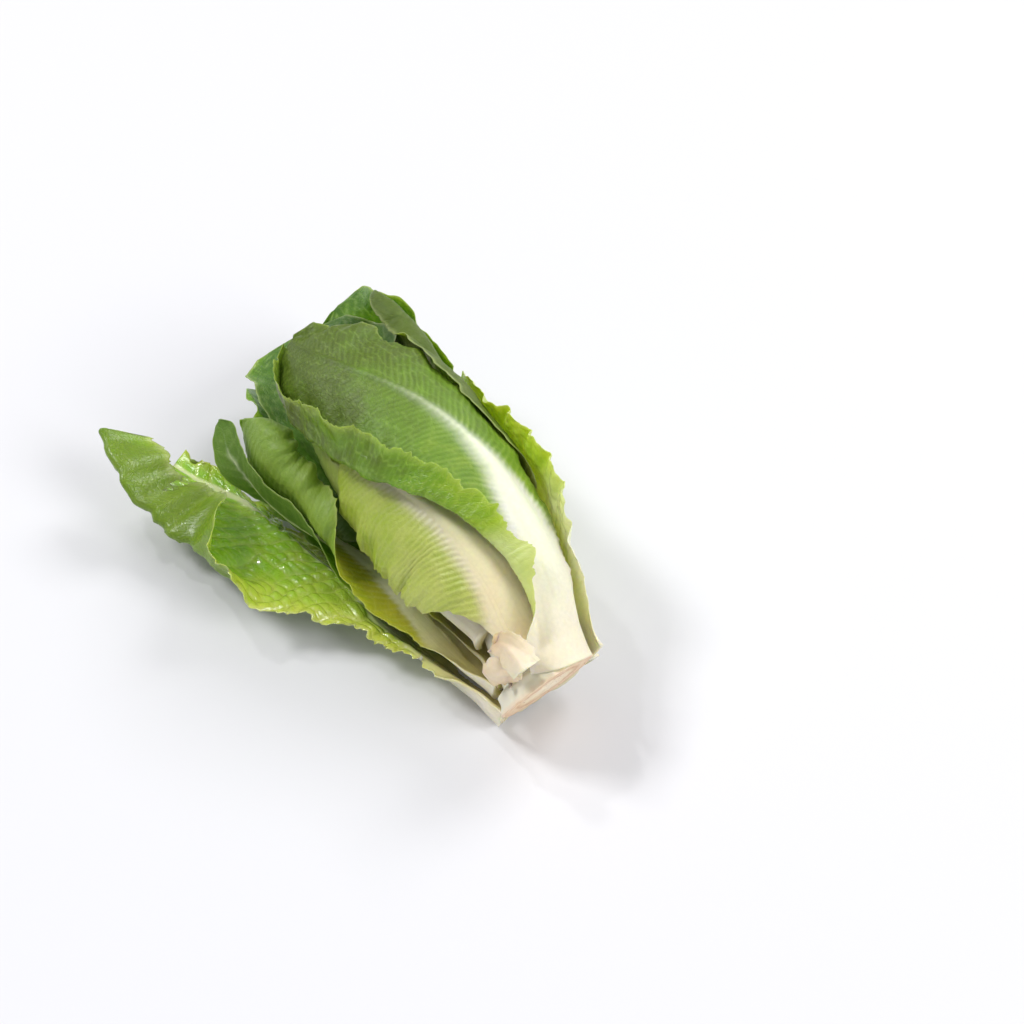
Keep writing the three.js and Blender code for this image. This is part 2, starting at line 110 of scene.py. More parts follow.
def add_node(tree, kind, inputs=None, **settings):
    """A node of that kind, with its settings, and each input given a value or joined to a socket."""
    node = tree.nodes.new(kind)
    for name, value in settings.items():
        setattr(node, name, value)
    for name, value in (inputs or {}).items():
        if isinstance(value, bpy.types.NodeSocket):
            tree.links.new(value, node.inputs[name])
        else:
            node.inputs[name].default_value = value
    return node


def new_material(name):
    """An empty material: its node tree, and its output's surface socket."""
    material = bpy.data.materials.new(name)
    material.use_nodes = True
    material.node_tree.nodes.clear()
    output = material.node_tree.nodes.new("ShaderNodeOutputMaterial")
    return material, material.node_tree, output.inputs["Surface"]


def srgb(red, green, blue):
    """A colour given as 0 to 255 on a screen, made linear, with full alpha."""
    c = np.array([red, green, blue]) / 255
    linear = np.where(c <= 0.04045, c / 12.92, ((c + 0.055) / 1.055) ** 2.4)
    return (*map(float, linear), 1.0)


floor_mesh = bpy.data.meshes.new("floor")
floor_mesh.from_pydata([(-3, -3, 0), (3, -3, 0), (3, 3, 0), (-3, 3, 0)], [], [(0, 1, 2, 3)])
floor = bpy.data.objects.new("floor", floor_mesh)
bpy.context.scene.collection.objects.link(floor)
floor_material, tree, surface = new_material("floor_paper")
paper = add_node(tree, "ShaderNodeBsdfPrincipled", {"Base Color": srgb(228, 228, 232), "Roughness": 0.8})
tree.links.new(paper.outputs["BSDF"], surface)
floor_mesh.materials.append(floor_material)

for name, place, size, watts in (
    ("window_light", (-1.6, -1.5, 2.8), 0.75, 52),
    ("ceiling_light", (-1.9, -0.5, 3.0), 0.2, 12),
    ("side_light", (-0.6, 2.6, 2.6), 1.3, 44),
    ("front_light", (2.4, 1.2, 2.2), 1.6, 52),
):
    data = bpy.data.lights.new(name, "AREA")
    data.shape = "SQUARE"
    data.size = size
    data.energy = watts
    light = bpy.data.objects.new(name, data)
    light.location = place
    light.rotation_euler = (Vector((0, 0, 0.04)) - Vector(place)).to_track_quat("-Z", "Y").to_euler()
    bpy.context.scene.collection.objects.link(light)

world = bpy.data.worlds.new("studio_air")
world.use_nodes = True
world.node_tree.nodes["Background"].inputs["Color"].default_value = srgb(246, 246, 246)
world.node_tree.nodes["Background"].inputs["Strength"].default_value = 0.42
bpy.context.scene.world = world
bpy.context.scene.view_settings.view_transform = "Standard"


# ------------------------------------------------------------
# The core stem: the short stem that carries the leaves, cream inside, cut flat at the butt. The cut face has
# dried tan and pinkish, with a ring of darker sap dots, and the trimmed leaf bases give it a lobed rim.
CORE_LENGTH, CORE_RADIUS = 80.0, 19.5
COLLAR_RADIUS, COLLAR_DEPTH, NECK_RADIUS = 25.0, 3.0, 22.6
BARE_FROM, BARE_TO, BARE_DEPTH = np.radians(-12), np.radians(84), 8.5


def noise(x, y, seed):
    """Smooth noise from -1 to 1 on a plane: random values at whole x and y, blended by 3t^2 - 2t^3."""
    table = np.random.default_rng(seed).uniform(-1, 1, (64, 64))
    i, j = np.floor(x).astype(int), np.floor(y).astype(int)
    f, g = ease(x - i), ease(y - j)
    low = table[i % 64, j % 64] * (1 - f) + table[(i + 1) % 64, j % 64] * f
    high = table[i % 64, (j + 1) % 64] * (1 - f) + table[(i + 1) % 64, (j + 1) % 64] * f
    return low * (1 - g) + high * g


def outward(angle):
    """The direction out of the axis at an angle: (0, -cos, sin)."""
    return np.stack([0 * angle, -np.cos(angle), np.sin(angle)], -1)


def roundward(angle):
    """The direction round the axis at an angle: (0, sin, cos)."""
    return np.stack([0 * angle, np.sin(angle), np.cos(angle)], -1)


PRESS_BLEND = 0.0003


def pressed_in(points):
    """Points in metres pressed back where they would pass the floor or the box of the whole head: the
    softened smaller of x and the high limit h is (x + h - sqrt((x - h)^2 + e^2)) / 2, and likewise the larger
    of x and the low limit."""
    low, high = np.array(cad_box)
    points = 0.5 * (points + high - np.hypot(points - high, PRESS_BLEND))
    return 0.5 * (points + low + np.hypot(points - low, PRESS_BLEND))


def put_mesh(name, points, quads, masks, plane=None):
    """A smooth mesh object at the origin, from points in metres, pressed into the head's box, and the corner
    numbers of quads, with a number per point for each mask and the points' plane coordinates as UV map."""
    points = pressed_in(points)
    mesh = bpy.data.meshes.new(name)
    mesh.vertices.add(len(points))
    mesh.vertices.foreach_set("co", points.ravel().astype(np.float32))
    mesh.loops.add(quads.size)
    mesh.loops.foreach_set("vertex_index", quads.ravel().astype(np.int32))
    mesh.polygons.add(len(quads))
    mesh.polygons.foreach_set("loop_start", np.arange(0, quads.size, 4, dtype=np.int32))
    mesh.update(calc_edges=True)
    for mask, values in masks.items():
        layer = mesh.attributes.new(mask, "FLOAT", "POINT")
        layer.data.foreach_set("value", values.ravel().astype(np.float32))
    if plane is not None:
        layer = mesh.uv_layers.new(name="plane")
        layer.data.foreach_set("uv", plane[quads.ravel()].ravel().astype(np.float32))
    mesh.shade_smooth()
    piece = bpy.data.objects.new(name, mesh)
    bpy.context.scene.collection.objects.link(piece)
    return piece


def core_radius(along):
    """Radius of the stem at a distance from the cut face: R (1 - x)^0.8, with x the share of its length."""
    return CORE_RADIUS * (1 - np.clip(along / CORE_LENGTH, 0, 1)) ** 0.8


def stem_radius(along, angle):
    """Radius of the stem with the flesh of trimmed leaf bases round it: the collar's radius eases to the
    neck's over 6 mm, and the neck's to the cone's past the collar, which is deepest where it lies bare."""
    bare = ease((angle - BARE_FROM) / 0.2) * ease((BARE_TO - angle) / 0.2)
    end = COLLAR_DEPTH + (BARE_DEPTH - COLLAR_DEPTH) * bare
    neck = NECK_RADIUS + (COLLAR_RADIUS - NECK_RADIUS) * (1 - ease((along - 0.8) / 5))
    cone = core_radius(along)
    return cone + (neck - cone) * (1 - ease((along - end) / 3))


CORE_ROUND = 200
around = np.linspace(-np.pi, np.pi, CORE_ROUND, endpoint=False)[None]
lobes = 0.5 * np.sin(5 * around + 0.6) + 0.35 * np.sin(9 * around + 2.1)
lobes = lobes + 0.3 * noise(around * 60 / TURN + 30, 0 * around, 5)
face_share = np.linspace(0.02, 1, 30)[:, None]
face_radius = face_share * (COLLAR_RADIUS + lobes - 1.1)
face_lift = 0.35 * noise(face_radius / 5 + 9, around * 14 / TURN, 6)
face_lift = face_lift + 0.15 * noise(face_radius / 1.3, around * 50 / TURN, 7)
face_along = 0.25 + 0.5 * (1 - face_share**2) + face_lift * ease((1 - face_share) / 0.1)
side_along = 0.5 + (CORE_LENGTH - 1) * np.linspace(0, 1, 70)[:, None] ** 1.7
side_radius = stem_radius(side_along, around) + lobes * (1 - ease((side_along - 1) / 12))
side_radius = side_radius + 0.16 * noise(around * 110 / TURN, side_along / 22, 8) * ease(side_along / 3)
core_along = np.concatenate([face_along, side_along + 0 * around])
core_out = np.concatenate([face_radius, side_radius])
core_points = core_out[..., None] * outward(np.broadcast_to(around, core_out.shape))
core_points[..., 0] = -core_along
rows, columns = core_out.shape
number = np.arange(rows * columns).reshape(rows, columns)
beside = np.roll(number, -1, axis=1)
core_quads = np.stack([number[:-1], number[1:], beside[1:], beside[:-1]], -1).reshape(-1, 4)
caps = []
for ring in (number[0], number[-1][::-1]):
    k = np.arange(CORE_ROUND // 2 - 1)
    caps.append(np.stack([ring[k], ring[k + 1], ring[CORE_ROUND - 2 - k], ring[CORE_ROUND - 1 - k]], -1))
core_quads = np.concatenate([core_quads, *caps])
core_stem = put_mesh(
    "core_stem_flesh",
    head_to_object(core_points).reshape(-1, 3),
    core_quads,
    {"ring": np.concatenate([face_share**2 + 0 * around, 1 + side_along / 10 + 0 * around])},
)


def attribute(tree, name):
    """A mask of the piece as a socket."""
    return add_node(tree, "ShaderNodeAttribute", attribute_name=name).outputs["Fac"]


def math_node(tree, operation, a, b):
    """The sum, product or other operation of two values, kept from 0 to 1."""
    return add_node(tree, "ShaderNodeMath", {0: a, 1: b}, operation=operation, use_clamp=True).outputs[0]


def span_node(tree, value, start, end, low=0.0, high=1.0):
    """A value that runs from start to end, made to run from low to high and held there outside."""
    spans = {"Value": value, "From Min": start, "From Max": end, "To Min": low, "To Max": high}
    return add_node(tree, "ShaderNodeMapRange", spans).outputs[0]


def noise_node(tree, place, scale, detail=2.0):
    """Random blotches from 0 to 1, scale of them to a unit of place, with finer ones added detail times."""
    blotches = {"Vector": place, "Scale": scale, "Detail": detail}
    return add_node(tree, "ShaderNodeTexNoise", blotches).outputs["Fac"]


stem_material, tree, surface = new_material("cut_stem")
place = add_node(tree, "ShaderNodeTexCoord").outputs["Object"]
ring = attribute(tree, "ring")
mottle = noise_node(tree, place, 160.0, 4.0)
dots = add_node(tree, "ShaderNodeTexVoronoi", {"Vector": place, "Scale": 420.0}).outputs["Distance"]
ring_place = math_node(
    tree, "ADD", math_node(tree, "MULTIPLY", ring, 0.5), math_node(tree, "MULTIPLY", mottle, 0.14)
)
ring_colour = add_node(tree, "ShaderNodeValToRGB", {"Fac": ring_place})
stops = ring_colour.color_ramp.elements
stops[0].position, stops[0].color = 0.02, srgb(244, 232, 208)
stops[1].position, stops[1].color = 0.72, srgb(238, 234, 214)
for position, colour in (
    (0.2, (238, 218, 184)), (0.3, (212, 170, 128)), (0.38, (236, 210, 176)), (0.55, (224, 186, 148)),
    (0.62, (242, 222, 196)),
):
    stops.new(position).color = srgb(*colour)
spots = span_node(tree, dots, 0.08, 0.24)
plain = math_node(tree, "MAXIMUM", spots, math_node(tree, "GREATER_THAN", ring, 0.97))
sap_brown = srgb(176, 132, 94)
spotted = add_node(
    tree, "ShaderNodeMix", {"Factor": plain, "A": sap_brown, "B": ring_colour.outputs[0]}, data_type="RGBA"
)
bump = add_node(tree, "ShaderNodeBump", {"Height": mottle, "Strength": 0.5, "Distance": 0.0006})
flesh = add_node(
    tree,
    "ShaderNodeBsdfPrincipled",
    {
        "Base Color": spotted.outputs["Result"],
        "Roughness": 0.5,
        "Subsurface Weight": 0.3,
        "Subsurface Scale": 0.002,
        "Subsurface Radius": (1.0, 0.8, 0.4),
        "Normal": bump.outputs["Normal"],
    },
)
tree.links.new(flesh.outputs["BSDF"], surface)
core_stem.data.materials.append(stem_material)
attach(core_stem, "root")
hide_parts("core_stem")


# ------------------------------------------------------------
# The heart leaves: two short, pale, tightly hugging leaves at the stem's tip. Like every leaf they are one
# blade on a white midrib, and each is settled over the room that the stem and the leaves inside it take.
ROWS, HALF = 97, 32
CELL, ALONG_CELLS, ROUND_CELLS, FIRST_ALONG = 2.5, 116, 144, -10
BLADE, LAYER_BLEND, RIB_TIP, RIB_SHARE = 0.4, 0.8, 1.4, 0.29
room = np.repeat(core_radius(FIRST_ALONG + CELL * np.arange(ALONG_CELLS))[:, None], ROUND_CELLS, axis=1)
room[: int(-FIRST_ALONG / CELL)] = 0
room[int((CORE_LENGTH - FIRST_ALONG) / CELL) + 1 :] = 0


def through(values, t):
    """A smooth curve through evenly spaced rows of values, at t from 0 to 1: the Catmull-Rom cubic."""
    values = np.asarray(values, float)
    if len(values) == 1:
        return np.repeat(values, len(t), axis=0)
    p = np.concatenate([[2 * values[0] - values[1]], values, [2 * values[-1] - values[-2]]])
    x = np.clip(t, 0, 1) * (len(values) - 1)
    i = np.minimum(x.astype(int), len(values) - 2)
    f = (x - i).reshape(-1, *[1] * (values.ndim - 1))
    a, b, c, d = p[i], p[i + 1], p[i + 2], p[i + 3]
    return b + 0.5 * ((c - a) * f + (2 * a - 5 * b + 4 * c - d) * f**2 + (3 * b - a - 3 * c + d) * f**3)


def leaf(seed, path, half_width, **own):
    """The habits of a leaf. path holds stations along the midrib from base to tip: mm from the cut face, mm
    from the axis, and degrees round it. Other lists also run from base to tip. low is the half-blade towards
    smaller angles and high the other; curl is the degrees by which a margin turns in, or out if negative,
    slant the degrees by which the blade grows towards the tip instead of straight out, and swing adds to it
    over zone. gap is the room under the leaf and rib and ruffle are heights, all in mm, and roll is the turn
    of the blade about its midrib in degrees."""
    side = {"scale": [1], "curl": [0], "zone": (0.6, 1), "slant": [0], "swing": [0], "wave": 1}
    habits = {
        "seed": seed, "path": path, "half_width": half_width, "gap": 0.6, "rib": 0.8, "hug": [1], "roll": [0],
        "ruffle": [0.1, 0.5, 1.5], "waves": 6, "base": 0.22, "widest": 0.66, "tip": 0.08, "blunt": 2.6,
        "lobes": (9, 0.035),
    } | own
    habits["low"] = side | {"hug": habits["hug"]} | own.get("low", {})
    habits["high"] = side | {"hug": habits["hug"]} | own.get("high", {})
    return habits


def outline_share(habits, s):
    """The half-width at s as a share of the largest: an S-curve up to the widest place, then the root of
    1 - e^blunt, with e from 0 there to 1 at the tip."""
    base, widest, tip = habits["base"], habits["widest"], habits["tip"]
    body = base + (1 - base) * ease((s - 0.06) / (widest - 0.06))
    end = np.clip((s - widest) / (1 - widest), 0, 1)
    return body * (np.sqrt(1 - end ** habits["blunt"]) * (1 - tip) + tip)


def rib_half(habits, s):
    """Half the width of the midrib at s, in mm: the least at the tip, and more to the base by (1 - s)^2.3."""
    return RIB_TIP + RIB_SHARE * habits["half_width"] * (1 - s) ** 2.3


def rib_height(habits, s, across):
    """How far the midrib stands out at a distance from its middle: half a cosine wave, higher at the base."""
    share = np.clip(np.abs(across) / (1.35 * rib_half(habits, s)), 0, 1)
    return habits["rib"] * (0.2 + 3.9 * (1 - s) ** 1.2) * 0.5 * (1 + np.cos(np.pi * share))


def unit(v):
    """Vectors made one long."""
    return v / np.maximum(np.linalg.norm(v, axis=-1, keepdims=True), 1e-12)


def leaf_sheet(habits):
    """The middle surface of a leaf, as ROWS by 2 HALF + 1 points, and each point's distance across from the
    midrib. Each row starts at the midrib and bends round the head by arc length, then waves and curls."""
    fine = through(habits["path"], np.linspace(0, 1, 400))
    fine_angle = np.radians(fine[:, 2])
    fine_points = fine[:, 1:2] * outward(fine_angle) - fine[:, :1] * [1, 0, 0]
    run = np.concatenate([[0], np.cumsum(np.linalg.norm(np.diff(fine_points, axis=0), axis=1))])
    habits["length"] = run[-1]
    s = np.linspace(0, 1, ROWS)
    middle = np.stack([np.interp(s * run[-1], run, fine_points[:, k]) for k in range(3)], -1)
    radius = np.interp(s * run[-1], run, fine[:, 1])
    along = unit(np.gradient(middle, axis=0))
    across = roundward(np.interp(s * run[-1], run, fine_angle))
    across = unit(across - (across * along).sum(1, keepdims=True) * along)
    out = np.cross(across, along)
    roll = np.radians(through(habits["roll"], s))[:, None]
    across, out = across * np.cos(roll) - out * np.sin(roll), out * np.cos(roll) + across * np.sin(roll)
    points = np.zeros((ROWS, 2 * HALF + 1, 3))
    reach = np.zeros((ROWS, 2 * HALF + 1))
    x = np.linspace(0, 1, HALF + 1)
    seed, (lobes, depth), waves = habits["seed"], habits["lobes"], habits["waves"]
    for direction, side in ((-1, habits["low"]), (1, habits["high"])):
        lobe = np.sin(TURN * (lobes * s + 0.13 * direction + seed * 0.37)) * ease((s - 0.12) / 0.2)
        notch = np.sin(TURN * (lobes * 2.3 * s + seed * 0.71) + direction)
        scale = through(side["scale"], s) * (1 + depth * (lobe + 0.5 * notch))
        width = habits["half_width"] * scale * outline_share(habits, s)
        bend = through(side["hug"], s) / np.maximum(radius, 14)
        curl = np.radians(through(side["curl"], s))
        swell = np.sin(TURN * (waves * s + seed * 0.61 + 0.25 * direction))
        swell += 0.45 * np.sin(TURN * (2.1 * waves * s + seed * 1.3 + 0.4 * direction))
        wave = through(habits["ruffle"], s) * side["wave"] * swell
        start, end = side["zone"]
        zone_share = ease((x - start) / (end - start))
        turn = ((bend * width)[:, None] * x + curl[:, None] * zone_share)[..., None]
        swing = through(side["swing"], s)[:, None] * zone_share
        slant = np.radians(through(side["slant"], s)[:, None] + swing)[..., None]
        grown = direction * across[:, None] * np.cos(slant) + along[:, None] * np.sin(slant)
        heading = grown * np.cos(turn) - out[:, None] * np.sin(turn)
        facing = out[:, None] * np.cos(turn) + grown * np.sin(turn)
        steps = 0.5 * (heading[:, 1:] + heading[:, :-1]) * (width / HALF)[:, None, None]
        flat = middle[:, None] + np.concatenate([np.zeros((ROWS, 1, 3)), np.cumsum(steps, axis=1)], axis=1)
        places = HALF + direction * np.arange(HALF + 1)
        points[:, places] = flat + facing * (wave[:, None] * ease((x - 0.4) / 0.6))[..., None]
        reach[:, places] = direction * width[:, None] * x
    return points, reach


def sheet_normals(points):
    """Unit normals of a grid of points, out of the head: the step along a row crossed with that down it."""
    return unit(np.cross(np.gradient(points, axis=1), np.gradient(points, axis=0)))


def eased_room():
    """The room taken, widened by the largest of the cells about each, then smoothed by their mean."""

    def passed(cells, reach, axis, combine):
        if axis == 0:
            padded = np.pad(cells, [(reach, reach), (0, 0)], "edge")
        else:
            padded = np.pad(cells, [(0, 0), (reach, reach)], "wrap")
        count = cells.shape[axis]
        return combine([np.take(padded, np.arange(k, k + count), axis) for k in range(2 * reach + 1)], axis=0)

    wide = passed(passed(room, 3, 0, np.max), 4, 1, np.max)
    return passed(passed(wide, 2, 0, np.mean), 3, 1, np.mean)


def room_place(points):
    """Where points are in the grid of the room, in steps along and round, and their distance from the
    axis."""
    angle = np.arctan2(points[..., 2], -points[..., 1])
    radius = np.hypot(points[..., 1], points[..., 2])
    return (-points[..., 0] - FIRST_ALONG) / CELL, angle / TURN * ROUND_CELLS, radius


def settle(habits):
    """Lifts a leaf's sheet clear of everything that it wraps, then takes up its room. Where d is the distance
    to spare, the radius needed grows by (d + sqrt(d^2 + blend^2)) / 2."""
    points, reach = leaf_sheet(habits)
    s = np.linspace(0, 1, ROWS)[:, None]
    rib = rib_height(habits, s, reach)
    inner, outer = BLADE + 0.15 * rib, BLADE + 0.85 * rib
    below = eased_room()
    x, y, radius = room_place(points)
    x = np.clip(x, 0, ALONG_CELLS - 1.001)
    i, j = np.floor(x).astype(int), np.floor(y).astype(int)
    f, g = x - i, y - j
    j, k = j % ROUND_CELLS, (j + 1) % ROUND_CELLS
    taken = (below[i, j] * (1 - f) + below[i + 1, j] * f) * (1 - g)
    taken = taken + (below[i, k] * (1 - f) + below[i + 1, k] * f) * g
    needed = taken + habits["gap"] + inner
    spare = radius - needed
    lifted = 0.5 * (radius + needed + np.sqrt(spare**2 + LAYER_BLEND**2))
    share = np.where(taken < 0.01, 1, lifted / radius)[..., None]
    points = points * np.concatenate([np.ones_like(share), share, share], axis=-1)
    normals = sheet_normals(points)
    for face in (points + normals * outer[..., None], points - normals * inner[..., None]):
        for axis in (0, 1):
            steps = 4 * (face.shape[axis] - 1) + 1
            place = np.linspace(0, face.shape[axis] - 1, steps)
            start = np.minimum(place.astype(int), face.shape[axis] - 2)
            part = (place - start).reshape((-1, 1, 1) if axis == 0 else (1, -1, 1))
            face = np.take(face, start, axis) * (1 - part) + np.take(face, start + 1, axis) * part
        x, y, radius = room_place(face)
        i = np.clip(np.floor(x + 0.5).astype(int), 0, ALONG_CELLS - 1)
        j = np.floor(y + 0.5).astype(int) % ROUND_CELLS
        np.maximum.at(room, (i, j), radius)
    habits["sheet"], habits["reach"] = points, reach


def relief(habits, looks, along, across, share):
    """Masks and heights over a leaf, from the distances along and across it in mm and the share of the way
    out to the margin. Side veins leave the midrib every few mm, lean towards the tip and curve; cross veins
    between them bound cells, and each cell is domed by 4f(1 - f) both ways. A folded side is smoothed."""
    seed = habits["seed"]
    s = along / habits["length"]
    off = np.abs(across)
    rib = rib_half(habits, s)
    spacing = looks["spacing"]
    drift = 2.6 * noise(along / 26, across / 20, seed) + 0.8 * noise(along / 8, across / 8, seed + 1)
    drift = drift * looks["wander"]
    beyond = np.maximum(off - 0.6 * rib, 0)
    lean = through(looks["lean"], s[:, 0])[:, None]
    q = (along - lean * beyond + looks["curve"] * beyond**2 + drift + 3.3 * (across > 0)) / spacing
    order = np.round(q).astype(int)
    dice = np.random.default_rng(seed + 50).uniform(0, 1, (512, 3))
    strength = 0.45 + 0.55 * dice[(order + 100) % 512, 0]
    vein_width = 0.45 + 0.6 * (1 - share) ** 1.5
    vein = strength * np.exp(-((np.abs(q - order) * spacing / vein_width) ** 2))
    vein = vein * (0.35 + 0.65 * np.exp(-beyond / looks["vein_reach"]))
    vein = vein * through(looks["veins"], s[:, 0])[:, None]
    ladder = 0.6 * strength * (0.5 + 0.5 * np.cos(TURN * q)) ** 2
    ladder = ladder + 0.5 * noise(q * 1.7 + 9, beyond / 16, seed + 15)
    ladder = ladder + 0.2 * noise(q * 0.6, beyond / 20, seed + 16)
    lane = np.floor(q).astype(int)
    cell = looks["cell"]
    p = off / cell + dice[(lane + 100) % 512, 1] + 0.5 * noise(along / 11, across / 11, seed + 2)
    cross_vein = np.exp(-((np.abs(p - np.round(p)) * cell / 0.45) ** 2)) * 0.5
    dome = (4 * (q - lane) * (1 - q + lane)) ** 0.75 * (0.45 + 0.55 * (4 * (p % 1) * (1 - p % 1)) ** 0.7)
    dome = dome * (0.65 + 0.5 * noise(along / 17, across / 17, seed + 3))
    on_blade = ease((off / rib - 0.75) / 0.6)
    from_rib = 1 - on_blade
    grooves = noise(across / 0.9 + 20, along / 70, seed + 4) * 0.6 + noise(across / 2.2, along / 45, seed + 5)
    rings = noise(along / 1.7, across / 9, seed + 6)
    crumple = noise(along / 13, across / 13, seed + 7) + 0.5 * noise(along / 6, across / 6, seed + 8)
    blister = through(looks["blister"], s[:, 0])[:, None]
    height = on_blade * (0.55 * blister - blister * dome + looks["ridge"] * vein + 0.1 * cross_vein)
    height = height + from_rib * (0.09 * grooves + 0.04 * rings) * ease(s / 0.05)
    crumple = crumple * ease(share / 0.6) * ease(s / 0.15)
    height = height + through(looks["crumple"], s[:, 0])[:, None] * crumple
    smooth = 1
    for sign, side in ((-1, "low"), (1, "high")):
        start, end = habits[side]["zone"]
        over = ease((np.abs(through(habits[side]["curl"], s[:, 0])) - 50) / 60)[:, None]
        over = over * ease((share - start) / (end - start)) * (sign * across > 0)
        smooth = smooth * (1 - looks["smooth_fold"] * over)
    height = height * smooth
    frill = noise(along / looks["frill_size"], 0 * along + np.sign(across) * 7, seed + 9)
    frill = frill + 0.5 * noise(along / looks["frill_size"] * 2.3, 0 * along + np.sign(across) * 5, seed + 10)
    height = height + through(looks["frill"], s[:, 0])[:, None] * frill * smooth * ease((share - 0.72) / 0.28)
    return height, np.maximum(vein, cross_vein) * on_blade, dome * on_blade, ladder


def ragged(habits, looks, along, side):
    """How far the margin is drawn in or out, in mm: slow waves, and small sharp teeth from 1 - 2 |noise|."""
    seed = habits["seed"] + 20 * side
    slow = noise(along / 15, 0 * along, seed + 30)
    teeth = 0.6 * (1 - 2 * np.abs(noise(along / 5, 0 * along, seed + 31)))
    small = 0.3 * (1 - 2 * np.abs(noise(along / 2, 0 * along, seed + 32)))
    return looks["ragged"] * (slow + teeth + small)


def grow(name, habits, rows, columns, **own):
    """The finished leaf: the settled sheet drawn through finely, with its base carried on to the cut face,
    its margin made ragged and its relief raised, then given two faces and a rim. Lengths are in mm, and
    lists run from base to tip."""
    looks = {
        # Side veins: how far apart, the cells between them, their lean and bend, their strength and reach.
        "spacing": 6.5, "cell": 8.0, "lean": [0.35, 0.6], "curve": 0.004, "wander": 1,
        "veins": [1], "vein_reach": 14, "ridge": 0.22,
        # Relief of the blade.
        "blister": [0.3, 0.5], "crumple": [0.35], "smooth_fold": 0,
        # The margin, and half the thickness of the blade.
        "frill": [0, 0.5], "frill_size": 7, "ragged": 0.8, "thin": 0.22, "taper": 0.5,
        # The base of an outer leaf: how far it runs on to the cut face, flares out and sinks at its edges.
        "to_face": 0, "flare": 1.5, "sink": 0,
        # The pale middle: its width in rib widths, its streaks and soft edge, and where green starts.
        "white": [1.5, 1.0, 0.3, -3], "streak": [2], "fade": [5, 6, 4], "green_from": (0.05, 0.3), "lead": 0,
        # Shades: 0 young to 1 old green, lighter or darker at the margin, stains, and the base's own cream.
        "tone": [0.25, 0.5, 0.8], "margin_tone": 0, "stain": [0, 0], "base_to": 0.3,
    } | own
    s = np.linspace(0, 1, rows)
    u = np.linspace(0, 1, columns)
    points = through(through(habits["sheet"], s).swapaxes(0, 1), u).swapaxes(0, 1)
    across = through(through(habits["reach"], s).T, u).T
    along = habits["length"] * s[:, None] + 0 * across
    share = np.abs(2 * u - 1)[None] + 0 * across
    side_step = unit(np.gradient(points, axis=1)) * np.sign(2 * u - 1)[None, :, None]
    for side in (-1, 1):
        wide = ease(np.abs(across[:, [0 if side < 0 else -1]]) / 9)
        at_margin = wide * ease((share - 0.8) / 0.2) * ease((s[:, None] - 0.08) / 0.12)
        draw = ragged(habits, looks, along, side) * at_margin
        points = points + side_step * (draw * (np.sign(2 * u - 1) == side)[None])[..., None]
    sink = looks["sink"] * ease((share - 0.45) / 0.5) * (1 - ease(s[:, None] / 0.14))
    points = points - sheet_normals(points) * sink[..., None]
    height, vein, dome, ladder = relief(habits, looks, along, across, share)
    tip_fade = ease((1 - s[:, None]) / 0.02)
    points = points + sheet_normals(points) * (height * tip_fade)[..., None]
    if looks["to_face"]:
        near_face = (1 - s[:, None] / 0.06).clip(0, 1)
        angle = np.arctan2(points[..., 2], -points[..., 1])
        points = points + outward(angle) * (looks["flare"] * near_face**2)[..., None]
        points = points + near_face[..., None] * [looks["to_face"], 0, 0]
    rib = rib_height(habits, s[:, None], across)
    thin = looks["thin"] * (1 - looks["taper"] * ease((share - 0.8) / 0.2))
    normals = sheet_normals(points)
    outer = points + normals * (thin + 0.85 * rib)[..., None]
    inner = points - normals * (thin + 0.15 * rib)[..., None]

    white = through(looks["white"], s)[:, None] * rib_half(habits, s[:, None])
    patch = noise(along / 19, across / 19, habits["seed"] + 12)
    pale = white + through(looks["streak"], s)[:, None] * ladder - 2 * patch * ease(share / 0.5)
    green = ease((np.abs(across) - pale) / through(looks["fade"], s)[:, None])
    start, end = looks["green_from"]
    green = green * ease((s[:, None] + 0.06 * patch + looks["lead"] * share - start) / (end - start))
    tone = through(looks["tone"], s)[:, None] + 0.14 * patch
    tone = tone + 0.1 * noise(along / 6, across / 6, habits["seed"] + 13)
    tone = tone - 0.12 * vein + 0.1 * dome + looks["margin_tone"] * ease((share - 0.35) / 0.6)
    # A lighter rim at the margin, painted as a glow of light shining through the thin edge.
    edge = ease((share - 0.93) / 0.07)
    uneven = 0.6 + 0.8 * noise(along / 9, across / 7, habits["seed"] + 14)
    stain = through(looks["stain"], s)[:, None] * uneven

    number = np.arange(rows * columns).reshape(rows, columns)
    last = rows * columns
    quads = np.stack([number[:-1, :-1], number[:-1, 1:], number[1:, 1:], number[1:, :-1]], -1).reshape(-1, 4)
    rim = np.concatenate([number[0, :-1], number[:-1, -1], number[-1, :0:-1], number[:0:-1, 0]])
    next_rim = np.roll(rim, -1)
    rim_quads = np.stack([rim, rim + last, next_rim + last, next_rim], -1)
    quads = np.concatenate([quads, quads[:, ::-1] + last, rim_quads])
    base = 1 - ease((s[:, None] - 0.04 * patch) / looks["base_to"]) + 0 * across
    masks = {"green": green, "tone": tone, "vein": vein, "edge": edge, "stain": stain, "base": base}
    masks = {mask: np.concatenate([values.ravel(), values.ravel()]) for mask, values in masks.items()}
    masks["outer_face"] = np.concatenate([np.ones(last), np.zeros(last)])
    # The inner face near the base is tinted yellow. This is partly its own pale yellow and partly a painted
    # warm glow, standing in for light through the leaves in the gaps between them.
    masks["inner_tint_glow"] = np.concatenate([np.zeros(last), (1 - ease(s[:, None] / 0.55) + 0 * across).ravel()])
    plane = np.stack([along, across], -1).reshape(-1, 2) * 0.01
    faces = head_to_object(np.concatenate([outer.reshape(-1, 3), inner.reshape(-1, 3)]))
    return put_mesh(name, faces, quads, masks, np.concatenate([plane, plane + [0, 3]]))


